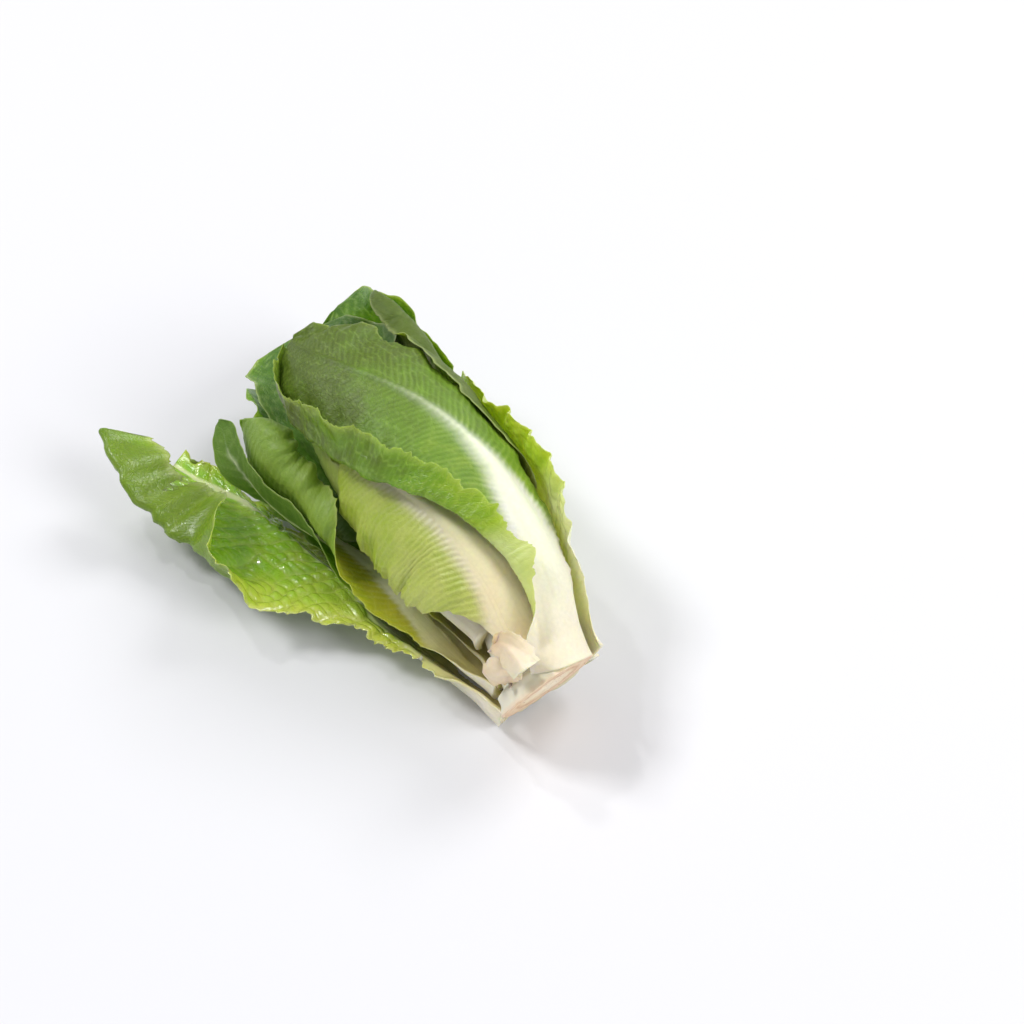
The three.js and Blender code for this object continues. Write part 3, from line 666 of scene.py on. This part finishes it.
def new_group(name, inputs, outputs):
    """An empty shader node group with those sockets, and its input and output nodes."""
    group = bpy.data.node_groups.new(name, "ShaderNodeTree")
    for label, kind in inputs.items():
        group.interface.new_socket(label, in_out="INPUT", socket_type=kind)
    for label, kind in outputs.items():
        group.interface.new_socket(label, in_out="OUTPUT", socket_type=kind)
    return group, group.nodes.new("NodeGroupInput").outputs, group.nodes.new("NodeGroupOutput").inputs


def mix_colour(tree, factor, a, b, blend="MIX"):
    """Colour a turned towards colour b by a factor."""
    node = add_node(tree, "ShaderNodeMix", {"Factor": factor}, data_type="RGBA", blend_type=blend)
    for place, value in ((6, a), (7, b)):
        if isinstance(value, bpy.types.NodeSocket):
            tree.links.new(value, node.inputs[place])
        else:
            node.inputs[place].default_value = value
    return node.outputs[2]


# Colour of leaf flesh: a young, a middle and an old green blended by tone, paler on veins, greyer on the
# outer face, washed out to the rib's colour where the leaf isn't green, and tan where it is stained. Near the
# base the inner face turns yellow. This is partly its own pale yellow and partly a painted glow, which stands
# in for light shining through the leaves into the gaps between them.
FLESH_COLOURS = ("Young", "Middle", "Old", "Rib", "Base", "Vein", "Back", "Inner", "Stain")
colours, given, put = new_group(
    "leaf_colour",
    {label: "NodeSocketColor" for label in FLESH_COLOURS}
    | {"Back Share": "NodeSocketFloat", "Vein Share": "NodeSocketFloat"},
    {"Color": "NodeSocketColor"},
)
tone = attribute(colours, "tone")
plane = add_node(colours, "ShaderNodeUVMap", uv_map="plane").outputs["UV"]
uneven = span_node(colours, noise_node(colours, plane, 9.0, 4.0), 0.0, 1.0, -0.25, 0.25)
tone = math_node(colours, "ADD", tone, uneven)
flesh = mix_colour(colours, math_node(colours, "MULTIPLY", tone, 2.0), given["Young"], given["Middle"])
flesh = mix_colour(colours, span_node(colours, tone, 0.5, 1.0), flesh, given["Old"])
vein_share = math_node(colours, "MULTIPLY", attribute(colours, "vein"), given["Vein Share"])
flesh = mix_colour(colours, vein_share, flesh, given["Vein"])
back_share = math_node(colours, "MULTIPLY", attribute(colours, "outer_face"), given["Back Share"])
flesh = mix_colour(colours, back_share, flesh, given["Back"])
rib = mix_colour(colours, attribute(colours, "base"), given["Rib"], given["Base"])
flesh = mix_colour(colours, attribute(colours, "green"), rib, flesh)
# The inner face near the base is turned three quarters of the way to its inner yellow: partly its own colour,
# partly a painted glow of light shining through the leaves.
inner_glow_share = math_node(colours, "MULTIPLY", attribute(colours, "inner_tint_glow"), 0.75)
flesh = mix_colour(colours, inner_glow_share, flesh, given["Inner"])
flesh = mix_colour(colours, attribute(colours, "stain"), flesh, given["Stain"])
# Painted glow: the green margin is turned 30% of the way towards the vein colour, as a highlight of light
# through the thin edge.
edge_glow_share = math_node(colours, "MULTIPLY", attribute(colours, "edge"), attribute(colours, "green"))
edge_glow_share = math_node(colours, "MULTIPLY", edge_glow_share, 0.3)
flesh = mix_colour(colours, edge_glow_share, flesh, given["Vein"])
darkest = span_node(colours, attribute(colours, "green"), 0.0, 1.0, 0.95, 0.84)
light = span_node(colours, noise_node(colours, plane, 55.0, 3.0), 0.0, 1.0, darkest, 1.12)
grey = add_node(colours, "ShaderNodeCombineColor", {"Red": light, "Green": light, "Blue": light})
colours.links.new(mix_colour(colours, 1.0, flesh, grey.outputs["Color"], "MULTIPLY"), put["Color"])

# Grain of leaf skin: a net of the finest veins, from the edges of Voronoi cells, and a fine pebbling.
grain, given, put = new_group(
    "leaf_grain",
    {"Net": "NodeSocketFloat", "Dull": "NodeSocketFloat", "Wet": "NodeSocketFloat"},
    {"Height": "NodeSocketFloat", "Roughness": "NodeSocketFloat", "Coat": "NodeSocketFloat"},
)
plane = add_node(grain, "ShaderNodeUVMap", uv_map="plane").outputs["UV"]
wander = add_node(grain, "ShaderNodeTexNoise", {"Vector": plane, "Scale": 20.0}).outputs["Color"]
bent = add_node(grain, "ShaderNodeMix", {"Factor": 0.06}, data_type="VECTOR")
grain.links.new(plane, bent.inputs[4])
grain.links.new(wander, bent.inputs[5])
cells = add_node(
    grain, "ShaderNodeTexVoronoi", {"Vector": bent.outputs[1], "Scale": 38.0}, feature="DISTANCE_TO_EDGE"
).outputs["Distance"]
pebbles = noise_node(grain, plane, 160.0)
net = math_node(grain, "MULTIPLY", span_node(grain, cells, 0.0, 0.16), given["Net"])
net = math_node(grain, "MULTIPLY", net, attribute(grain, "green"))
grain.links.new(math_node(grain, "ADD", net, math_node(grain, "MULTIPLY", pebbles, 0.3)), put["Height"])
outer_face = attribute(grain, "outer_face")
dull = math_node(grain, "ADD", span_node(grain, pebbles, 0.0, 1.0, -0.06, 0.14), given["Dull"])
dull = math_node(grain, "ADD", dull, math_node(grain, "MULTIPLY", outer_face, 0.16))
grain.links.new(dull, put["Roughness"])
wet_share = span_node(grain, outer_face, 0.0, 1.0, 1.0, 0.1)
grain.links.new(math_node(grain, "MULTIPLY", wet_share, given["Wet"]), put["Coat"])


def leaf_skin(
    name, young, middle, old, rib=(226, 230, 198), base=(232, 224, 200), vein=(214, 226, 160),
    back=(150, 178, 104), back_share=0.25, inner=(206, 192, 104), vein_share=0.35, stain=(206, 160, 104),
    dull=0.3, net=0.5, coat=0.12,
):
    """The material of one leaf, from its greens, the colours of its rib, veins and outer face, its gloss, and
    how wet its inner face is. inner is the yellow of the inner face near the base: partly its own pale
    yellow, partly a painted glow of light through the leaves."""
    material, tree, surface = new_material(name)
    shades = (young, middle, old, rib, base, vein, back, inner, stain)
    shades = {label: srgb(*shade) for label, shade in zip(FLESH_COLOURS, shades)}
    shares = {"Back Share": back_share, "Vein Share": vein_share}
    colour = add_node(tree, "ShaderNodeGroup", shades | shares, node_tree=colours)
    skin = add_node(tree, "ShaderNodeGroup", {"Net": net, "Dull": dull, "Wet": coat}, node_tree=grain)
    pebbling = {"Height": skin.outputs["Height"], "Strength": 0.6, "Distance": 0.0004}
    bump = add_node(tree, "ShaderNodeBump", pebbling)
    flesh = add_node(
        tree,
        "ShaderNodeBsdfPrincipled",
        {
            "Base Color": colour.outputs["Color"],
            "Roughness": skin.outputs["Roughness"],
            "Normal": bump.outputs["Normal"],
            "Subsurface Weight": 0.6,
            "Subsurface Scale": 0.0025,
            "Subsurface Radius": (0.8, 1.0, 0.25),
            "Coat Weight": skin.outputs["Coat"],
            "Coat Roughness": 0.1,
        },
    )
    tree.links.new(flesh.outputs["BSDF"], surface)
    return material


def put_leaf(name, skin, habits, rows, columns, **looks):
    """Settles a leaf on those inside it, grows its piece, and gives it its material and the place of its CAD
    node, whose name is the piece's without the last word."""
    settle(habits)
    piece = grow(name, habits, rows, columns, **looks)
    node = name.rpartition("_")[0]
    piece.data.materials.append(skin)
    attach(piece, "root")
    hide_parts(node)


heart_skin = leaf_skin("heart_leaf_skin", (236, 236, 180), (220, 226, 140), (190, 210, 100))
for name, habits in (
    (
        "heart_leaf_top",
        leaf(16, [[48, 8, 80], [75, 12, 80], [105, 14, 80], [135, 13, 78], [155, 8, 70]], 22, waves=5),
    ),
    (
        "heart_leaf_under",
        leaf(15, [[40, 10, -110], [70, 17, -110], [110, 20, -110], [145, 19, -108], [168, 13, -100]], 28),
    ),
):
    put_leaf(name + "_blade", heart_skin, habits, 50, 28, tone=[0, 0.2, 0.5])


# ------------------------------------------------------------
# The inner leaves: four pale leaves that close the head round its heart. Only their tips and a few edges
# show, in the dark gaps between the outer leaves.
inner_skin = leaf_skin("inner_leaf_skin", (222, 228, 140), (190, 212, 92), (140, 178, 66), dull=0.34)
for name, habits in (
    (
        "inner_leaf_left",
        leaf(14, [[34, 13, 12], [62, 22, 10], [105, 29, 10], [145, 29, 14], [178, 24, 20]], 34),
    ),
    (
        "inner_leaf_top",
        leaf(13, [[30, 14, 140], [60, 24, 135], [110, 31, 128], [150, 31, 122], [185, 24, 110]], 38),
    ),
    (
        "inner_leaf_under",
        leaf(12, [[24, 16, -60], [60, 25, -58], [110, 31, -54], [155, 31, -48], [190, 25, -40]], 40, gap=1),
    ),
    (
        "inner_leaf_right",
        leaf(11, [[22, 17, 165], [60, 28, 170], [110, 35, 178], [160, 35, 184], [200, 26, 190]], 42),
    ),
):
    put_leaf(name + "_blade", inner_skin, habits, 70, 44, tone=[0.1, 0.35, 0.8])


# ------------------------------------------------------------
# The front leaf: pale, glossy and yellow-green, with a broad cream midrib that turns tan at its base, ladder
# veins, and a ragged edge that lies over the hooded leaf.
front_leaf = leaf(
    10,
    [[15, 19, 82], [45, 30, 87], [77, 37, 80], [104, 39, 67], [127, 37, 53], [146, 32, 43]],
    49, gap=0.8, rib=1, ruffle=[0.2, 0.8, 1.2], waves=8, widest=0.46, base=0.26,
)
front_leaf_skin = leaf_skin(
    "front_leaf_skin", (220, 228, 126), (180, 204, 70), (138, 174, 44), rib=(230, 228, 184),
    base=(250, 234, 196), back=(152, 182, 54), back_share=0.4, vein=(210, 222, 138), stain=(226, 196, 150),
    dull=0.2, vein_share=0.55, coat=0.4,
)
put_leaf(
    "front_leaf_blade", front_leaf_skin, front_leaf, 230, 130,
    spacing=3.2, lean=[0.3, 0.5], ridge=0.3, ragged=1.8, blister=[0.2, 0.75, 0.8],
    crumple=[0.3, 0.8, 0.9], white=[0.9, 0.8, 0.8, 0.6, 0.4], streak=[0.8], fade=[7, 9, 8, 5],
    green_from=(0.05, 0.2), tone=[0.0, 0.2, 0.45], stain=[0.35, 0.1, 0, 0, 0], base_to=0.7,
)


# ------------------------------------------------------------
# The hooded leaf: its rib lies low on the spread side, and its upper half rolls in over the blade, so that
# the matte green outer face shows as a hood above the yellow-green inner face.
hooded_leaf = leaf(
    9,
    [[12, 20, -34], [55, 31, -44], [100, 38, -42], [140, 50, -28], [172, 60, -10], [196, 54, 4]],
    46, rib=0.9, roll=[0, -20, -25, -10, 10, 20], hug=[1, 0.6, 0.6], ruffle=[0.2, 1, 1.5], waves=7,
    widest=0.82, base=0.28, blunt=3.6,
    high={"curl": [0, 0, 20, 130, 110], "zone": (0.4, 0.9), "hug": [1, 0.4, 0.4, 0.8]},
    low={"scale": [0.14], "hug": [1, 1.8, 1.9]},
)
hooded_leaf_skin = leaf_skin(
    "hooded_leaf_skin", (204, 190, 66), (174, 182, 40), (118, 152, 40), back=(124, 160, 62), back_share=0.8,
    inner=(190, 176, 66), vein=(196, 212, 130), dull=0.32, vein_share=0.6,
)
put_leaf(
    "hooded_leaf_blade", hooded_leaf_skin, hooded_leaf, 220, 116,
    spacing=4.2, blister=[0.2, 0.3, 0.3], ragged=1.8, tone=[0.1, 0.35, 0.75], frill=[0, 0.3, 0.4],
    crumple=[0.3, 0.5, 0.9], vein_reach=40,
)


# ------------------------------------------------------------
# The hooding leaf: the large outer leaf on top. It has a broad white midrib and ladder veins, its tip hoods
# the head, and its edge on the spread side is folded back as a ragged yellow-green strip.
TO_CUT_FACE = {"to_face": 3.6, "sink": 2.5}
hooding_leaf = leaf(
    8,
    [
        [4, 22, 124], [42, 41, 124], [86, 49, 120], [118, 50.5, 111], [144, 50, 98], [169, 47, 82],
        [192, 41, 67], [213, 30, 54],
    ],
    56, rib=1, hug=[1, 1, 1.1], ruffle=[0.2, 0.8, 1.5], waves=7, base=0.36, widest=0.6, blunt=1.8,
    lobes=(9, 0.01),
    low={"scale": [1.22], "curl": [0, -150, -176, -176, -176, -160], "zone": (0.62, 0.74)},
    high={"scale": [0.66]},
)
hooding_leaf_skin = leaf_skin(
    "hooding_leaf_skin", (164, 188, 48), (112, 154, 26), (80, 94, 16), rib=(232, 236, 212),
    vein=(182, 206, 108), back=(92, 122, 26), back_share=0.35, inner=(160, 180, 20), vein_share=0.5,
    dull=0.32, coat=0.1,
)
put_leaf(
    "hooding_leaf_blade", hooding_leaf_skin, hooding_leaf, 330, 120,
    spacing=3.3, lean=[0.3, 0.6, 0.8], ridge=0.3, veins=[1, 1, 1, 0.4, 0.3], blister=[0.1, 0.3, 0.35],
    crumple=[0.3, 0.3, 0.4, 1.8, 2.8], ragged=2.8, white=[1.5, 1.3, 0.3, -1.8, -6, -9],
    streak=[1.6, 1.6, 1.6, 1, 0], fade=[9, 10, 11, 12, 10], green_from=(0.1, 0.3),
    tone=[0.1, 0.35, 0.75, 1.2], base_to=0.32, **TO_CUT_FACE,
)


# ------------------------------------------------------------
# The bottom leaf: a dark green leaf on a thin white rib. It lies along the under side of the head, held
# there by the leaves round it, and its waved tip shows behind the head.
bottom_leaf = leaf(
    7,
    [[20, 19, -108], [70, 32, -106], [130, 37, -100], [185, 36, -97], [225, 34, -100], [252, 33, -106]],
    46, rib=0.7, hug=[1, 1, 1, 0.5], ruffle=[0.1, 0.4, 3], widest=0.78,
)
back_skin = leaf_skin(
    "back_leaf_skin", (186, 204, 84), (104, 146, 42), (66, 106, 28), back=(104, 138, 56), back_share=0.6,
    dull=0.36,
)
put_leaf("bottom_leaf_blade", back_skin, bottom_leaf, 130, 76, tone=[0.2, 0.6, 1.0])


# ------------------------------------------------------------
# The rolled leaf: it stands behind the hooding leaf's midrib, and its upper edge rolls over as a light band
# above an olive inner face. Its greens are partly its own olive and partly painted shade, darker than the
# leaf's own over both faces.
rolled_leaf = leaf(
    6,
    [[16, 20, 215], [60, 34, 204], [115, 42, 192], [160, 45, 186], [200, 46, 176], [228, 40, 162]],
    46, gap=0.9, rib=0.7, hug=[1, 0.7, 0.6], ruffle=[0.1, 0.5, 2],
    low={"curl": [0, 0, 20, 110], "zone": (0.5, 0.9)},
    high={"scale": [0.85]},
)
# Painted shade: these olive greens and the dark olive of the outer face are darker than the leaf's own,
# standing in for the shade that the leaf lies in.
rolled_leaf_shaded_skin = leaf_skin(
    "rolled_leaf_shaded_skin", (190, 200, 76), (104, 118, 28), (62, 80, 14), back=(84, 106, 24), back_share=0.8,
    dull=0.42,
)
put_leaf(
    "rolled_leaf_blade", rolled_leaf_shaded_skin, rolled_leaf, 150, 84,
    tone=[0.2, 0.5, 0.8], blister=[0.2, 0.3],
)


# ------------------------------------------------------------
# The pointed leaf: narrow and dark, pressed between the hooded and the under leaf. Its matte three-cornered
# tip stands up behind the hooded leaf.
pointed_leaf = leaf(
    5,
    [[16, 20, -66], [60, 32, -62], [110, 41, -47], [150, 54, -27], [180, 66, -8], [201, 64, 4]],
    26, rib=0.7, roll=[0, 0, 10, 55], hug=[1, 0.8, 0.8], ruffle=[0.1, 0.5, 1], widest=0.6, tip=0.03,
    blunt=1.4,
    low={"scale": [0.14, 0.14, 0.14, 0.14, 0.3, 0.75, 0.7], "hug": [1, 1.8, 1.8, 1]},
)
pointed_leaf_skin = leaf_skin(
    "pointed_leaf_skin", (204, 206, 84), (126, 158, 44), (80, 116, 34), back=(90, 122, 42), back_share=0.7,
    dull=0.42,
)
put_leaf(
    "pointed_leaf_blade", pointed_leaf_skin, pointed_leaf, 180, 80,
    tone=[0.2, 0.5, 0.85], ragged=0.4, blister=[0.2, 0.2],
)


# ------------------------------------------------------------
# The back leaf: a broad dark outer leaf whose white base reaches the cut face. It wraps the head from
# behind and below.
back_leaf = leaf(
    4,
    [[4, 22, -128], [58, 35, -126], [115, 44, -128], [162, 51, -130], [210, 46, -136], [253, 38, -140]],
    50, hug=[1, 1, 1, 0.6], ruffle=[0.1, 0.4, 2], waves=7, widest=0.68,
)
put_leaf("back_leaf_blade", back_skin, back_leaf, 150, 84, tone=[0.2, 0.55, 0.9], **TO_CUT_FACE)


# ------------------------------------------------------------
# The right leaf: an outer leaf behind the hooding leaf. Its thick white base turns late to a bright green
# blade, which is blistered and waved towards its edge. That bright green is partly its own and partly painted
# light: it is lighter than the leaf's own, to make up for the shade it lies in behind the hooding leaf.
right_leaf = leaf(
    3,
    [[4, 22, 190], [48, 38, 187], [92, 46, 190], [128, 47, 191], [150, 43, 190], [168, 38, 188]],
    54, gap=0.9, base=0.36, ruffle=[0.2, 2, 2.5], waves=9, widest=0.42,
    low={"scale": [0.86], "hug": [1, 0.1, 0.2, 0.8]},
    high={"scale": [0.8], "wave": 0.3},
)
# Painted light: these greens are lighter than the leaf's own, to make up for the shade that the blade lies in
# behind the hooding leaf.
right_leaf_lit_skin = leaf_skin(
    "right_leaf_lit_skin", (204, 228, 96), (176, 214, 66), (140, 190, 46), back=(168, 204, 84),
    inner=(224, 220, 178), vein_share=0.15, dull=0.2, coat=0.3,
)
put_leaf(
    "right_leaf_blade", right_leaf_lit_skin, right_leaf, 190, 100,
    spacing=6, cell=5, blister=[0.4, 1.3, 1.1], frill=[0, 0.9, 0.8], frill_size=8, ragged=1.2,
    green_from=(0.4, 0.74), lead=0.22, tone=[0.0, 0.15, 0.25], base_to=0.5, **TO_CUT_FACE,
)


# ------------------------------------------------------------
# The under leaf: the lowest outer leaf, with a flat midrib. The head rests on its belly, and its tip turns
# up behind the pointed leaf.
under_leaf = leaf(
    2,
    [[4, 22, -82], [58, 33, -80], [120, 41, -75], [170, 43, -66], [208, 38, -51], [230, 42, -36]],
    48, gap=1.2, rib=0.5, roll=[0, 0, -10], hug=[1, 1, 1, 0.6], ruffle=[0.1, 0.4, 2], waves=7, widest=0.6,
    low={"scale": [0.8, 0.8, 0.8, 0.8, 0.72, 0.66]}, high={"scale": [0.8, 0.75, 0.62, 0.5, 0.5, 0.6]},
)
under_leaf_skin = leaf_skin(
    "under_leaf_skin", (190, 208, 86), (124, 166, 50), (82, 130, 34), back=(130, 164, 70), dull=0.32
)
put_leaf(
    "under_leaf_blade", under_leaf_skin, under_leaf, 170, 90,
    frill=[0, 0.3, 1.2], tone=[0.2, 0.55, 0.85], **TO_CUT_FACE,
)


# ------------------------------------------------------------
# The spread leaf: the outermost leaf has fallen away from the head. Its glossy blistered inner face shows,
# with a pale midrib and a toothed lower edge, and the far upper corner is folded over on itself.
spread_leaf = leaf(
    1,
    [
        [4, 22, -44], [50, 36, -42], [92, 47, -38], [124, 55, -38], [152, 63, -34], [176, 75, -29],
        [194, 86, -22], [208, 93, -18],
    ],
    58, roll=[0, -34, -40, -60, -70], hug=[1, 0.25, 0.1], ruffle=[0.1, 1.1, 2.2, 1.9, 1.2], waves=8,
    base=0.18, widest=0.88, tip=0.83,
    high={
        "scale": [1.15, 0.95, 0.82, 0.82, 1.1, 1.58, 1.5, 1.38, 1.3],
        "curl": [0, -5, -10, -12, -10, 60, 165, 182, 188], "zone": (0.56, 0.68),
        "slant": [0, 0, 0, -5, -5, 16, 42, 62, 84], "swing": [0, 0, 0, 0, 0, -18, -24, -24, -24],
    },
    low={"scale": [0.9, 0.9, 0.8, 0.3, 0.2], "hug": [1, 0.7, 0.2]},
)
spread_leaf_skin = leaf_skin(
    "spread_leaf_skin", (190, 208, 80), (142, 188, 50), (98, 152, 36), rib=(208, 220, 164),
    back=(106, 136, 16), back_share=0.85, vein_share=0.3, dull=0.14, coat=0.9,
)
put_leaf(
    "spread_leaf_blade", spread_leaf_skin, spread_leaf, 256, 142,
    spacing=8.5, cell=5, lean=[0.5, 0.6, 0.2], wander=2.4, ridge=0.5, blister=[0.3, 2.2, 2.5, 0.6],
    crumple=[0.3, 0.9, 1.2, 0.5], smooth_fold=0.85, frill=[0, 0.8, 0.6], ragged=2.6,
    white=[1.3, 0.8, 0.55, 0.45], streak=[1], fade=[6, 3, 2], tone=[0.1, 0.35, 0.5], margin_tone=-0.3,
    **TO_CUT_FACE,
)


# ------------------------------------------------------------
# The torn stalks: the white stubs of two outer leaves that were pulled off. They still grow from the stem
# at the butt, and are curled, ragged and tan where they tore.
stalk_skin = leaf_skin(
    "torn_stalk_skin", (240, 234, 206), (226, 214, 160), (214, 206, 130), rib=(238, 222, 198),
    stain=(214, 184, 144),
)
torn_stalk_lower = leaf(
    22, [[11, 25, 74], [12, 27, 60], [14, 28, 44], [16, 29, 28]], 7, base=0.8, widest=0.5, tip=0.5,
    ruffle=[0, 0.2, 0.3], waves=3, lobes=(2, 0.05),
)
torn_stalk_upper = leaf(
    21, [[8, 25, 66], [14, 28, 66], [20, 32, 63], [24, 35, 56]], 6, base=0.8, widest=0.5, tip=0.5,
    ruffle=[0, 0.2, 0.3], waves=3, lobes=(2, 0.05),
)
for name, habits in (("torn_stalk_lower", torn_stalk_lower), ("torn_stalk_upper", torn_stalk_upper)):
    put_leaf(
        name + "_stub", stalk_skin, habits, 60, 40, blister=[0], ridge=0, crumple=[1.6], ragged=2.2,
        frill=[0, 2.2], frill_size=3, thin=0.45, taper=0.8, white=[9], stain=[0, 0.3, 1.0],
    )
